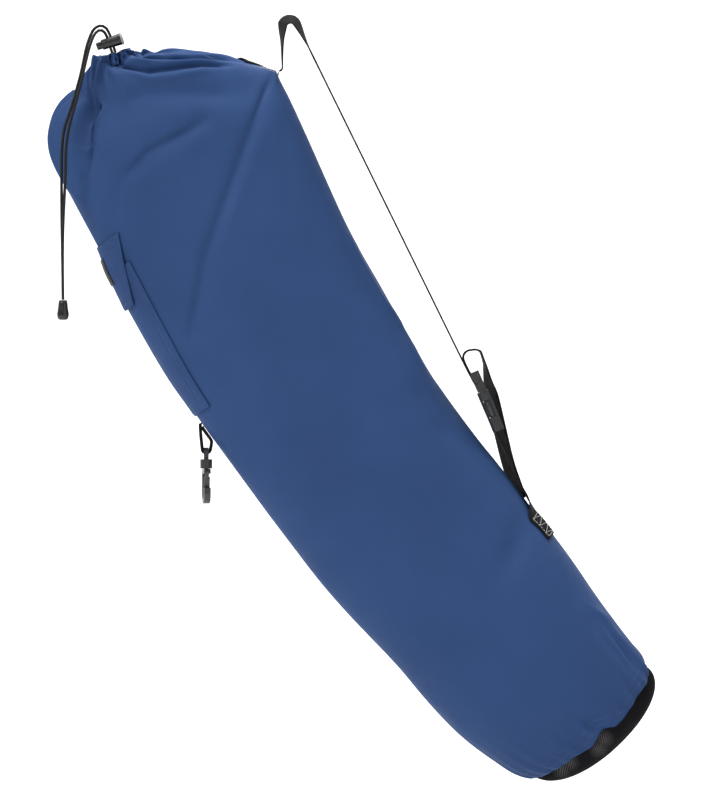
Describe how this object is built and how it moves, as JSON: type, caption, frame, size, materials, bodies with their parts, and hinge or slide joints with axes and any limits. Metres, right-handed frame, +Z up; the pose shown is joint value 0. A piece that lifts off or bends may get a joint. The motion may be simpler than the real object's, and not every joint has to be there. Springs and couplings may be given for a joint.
{
  "type": "yoga mat bag",
  "caption": "Long drawstring cloth bag with a mesh foot, hanging from its buckled webbing shoulder strap, with a flap pocket, a cord lock and a small hook.",
  "frame": {"origin": "the underside of the shoulder strap at its highest point, where a peg or a hand carries the bag", "axes": "+Z up with the bag hanging, +X towards the mesh foot, -Y towards the side with the cord and the buckle in front"},
  "size_m": [0.564, 0.1328, 0.7136],
  "materials": {
    "cloth": "smooth fine weave",
    "net": "fine black mesh",
    "webbing": "ribbed webbing",
    "cord": "braided",
    "patch": "matt",
    "plastic": "satin",
    "gloss": "glossy"
  },
  "bodies": {
    "bag": {"body_foot": "cloth", "body_lower": "cloth", "body_middle": "cloth", "body_upper": "cloth", "body_shoulder": "cloth", "neck_casing": "cloth", "pocket_panel": "cloth", "pocket_flap": "cloth", "base_net": "net", "flap_patch": "patch", "strap_upper": "webbing", "strap_lower": "webbing", "hook_loop": "webbing", "cord_a": "cord", "cord_b": "cord", "cord_end": "gloss", "lock_barrel": "gloss", "buckle_plug": "plastic", "buckle_socket": "plastic", "hook_swivel": "plastic"},
    "lock_plunger": {"lock_plunger": "gloss"},
    "hook_body": {"hook_body": "plastic"},
    "hook_gate": {"hook_gate": "plastic"}
  },
  "joints": [
    {"name": "lock_press", "type": "slide", "parent": "bag", "child": "lock_plunger", "axis": [0.9511, 0, 0.309], "range_m": [0, 0.003], "stiffness_N_per_m": 800, "springref_m": -0.003},
    {"name": "hook_swivel_turn", "type": "hinge", "parent": "bag", "child": "hook_body", "pos_m": [-0.07784, 0.00196, -0.41], "axis": [0, 0, 1], "continuous": true},
    {"name": "gate_open", "type": "hinge", "parent": "hook_body", "child": "hook_gate", "pos_m": [-0.07688, -0.00487, -0.42044], "axis": [0.9903, 0.1392, 0], "range_deg": [0, 20], "stiffness_Nm_per_rad": 0.04, "springref_deg": -11.46}
  ]
}
